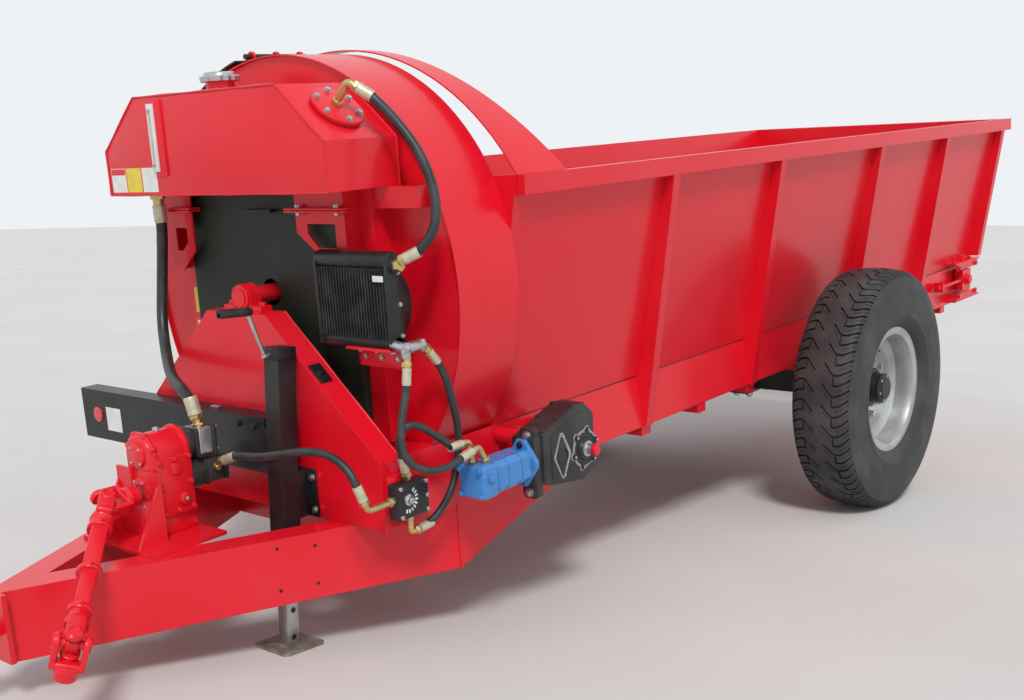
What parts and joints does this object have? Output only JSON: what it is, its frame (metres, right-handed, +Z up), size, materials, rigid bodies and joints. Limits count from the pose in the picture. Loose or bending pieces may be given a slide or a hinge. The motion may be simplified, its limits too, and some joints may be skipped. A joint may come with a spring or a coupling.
{
  "type": "manure spreader",
  "caption": "Towed side-discharge manure spreader: V-shaped steel box with floor conveyor, front rotor drum, oil tank and A-frame drawbar on a crank jack",
  "frame": {"origin": "on the floor under the middle of the whole length, between the wheels' sides", "axes": "+X to the rear, +Y to the machine's right, +Z up"},
  "size_m": [6.017, 2.13, 1.951],
  "materials": {
    "red_paint": "gloss",
    "black_paint": "semi-gloss",
    "olive_paint": "satin",
    "blue_paint": "gloss",
    "wheel_silver": "satin",
    "zinc_steel": "satin",
    "bare_steel": "worn",
    "tyre": "matte",
    "hose_rubber": "satin"
  },
  "bodies": {
    "chassis": {"drawbar_beam_left": "red_paint", "drawbar_beam_right": "red_paint", "drawbar_nose": "red_paint", "lower_frame": "red_paint", "side_plate_left": "red_paint", "side_plate_right": "red_paint", "box_wall_left": "red_paint", "box_wall_right": "red_paint", "box_rear_wall": "red_paint", "box_floor": "red_paint", "top_rim": "red_paint", "ribs_left": "red_paint", "ribs_right": "red_paint", "front_bulkhead": "red_paint", "arch_hoop": "red_paint", "drum_band": "red_paint", "drum_front": "red_paint", "bearing_block": "red_paint", "rotor_stand": "red_paint", "chain_cover": "olive_paint", "guard_beam": "black_paint", "oil_tank": "red_paint", "tank_brackets": "red_paint", "cooler": "black_paint", "flow_valve": "black_paint", "hydraulic_motor": "blue_paint", "conveyor_gearbox": "black_paint", "conveyor_shafts": "red_paint", "floor_chain": "bare_steel", "chain_tensioners": "red_paint", "jack_post": "black_paint", "pto_gearbox": "red_paint", "pto_bracket": "red_paint", "gear_pumps": "black_paint", "pto_stub_yoke": "red_paint", "axle": "black_paint", "hose_tank": "hose_rubber", "hose_suction": "hose_rubber", "hose_pump": "hose_rubber", "hose_cooler": "hose_rubber", "hose_motor_feed": "hose_rubber", "hose_motor_return": "hose_rubber"},
    "wheel_left": {"wheel_left": "wheel_silver", "tyre_left": "tyre"},
    "wheel_right": {"wheel_right": "wheel_silver", "tyre_right": "tyre"},
    "rotor": {"rotor": "red_paint"},
    "discharge_door": {"discharge_door": "black_paint"},
    "jack_leg": {"jack_leg": "zinc_steel"},
    "drive_shaft": {"pto_shaft": "red_paint"}
  },
  "joints": [
    {"name": "wheel_left_spin", "type": "hinge", "parent": "chassis", "child": "wheel_left", "pos_m": [0.93655, -0.921, 0.553], "axis": [0, 1, 0], "continuous": true},
    {"name": "wheel_right_spin", "type": "hinge", "parent": "chassis", "child": "wheel_right", "pos_m": [0.93655, 0.921, 0.553], "axis": [0, 1, 0], "continuous": true},
    {"name": "rotor_spin", "type": "hinge", "parent": "chassis", "child": "rotor", "pos_m": [-1.57146, 0, 1.1412], "axis": [0.9965, 0, 0.0837], "continuous": true},
    {"name": "discharge_door_swing", "type": "hinge", "parent": "chassis", "child": "discharge_door", "pos_m": [-1.7877, 0.13649, 1.89982], "axis": [0.9965, 0, 0.0837], "range_deg": [0, 75]},
    {"name": "jack_leg_slide", "type": "slide", "parent": "chassis", "child": "jack_leg", "axis": [0, 0, 1], "range_m": [0, 0.12]},
    {"name": "drive_shaft_swing", "type": "hinge", "parent": "chassis", "child": "drive_shaft", "pos_m": [-2.48739, 0, 0.51636], "axis": [0.0722, 0.506, -0.8595], "range_deg": [0, 45]}
  ]
}
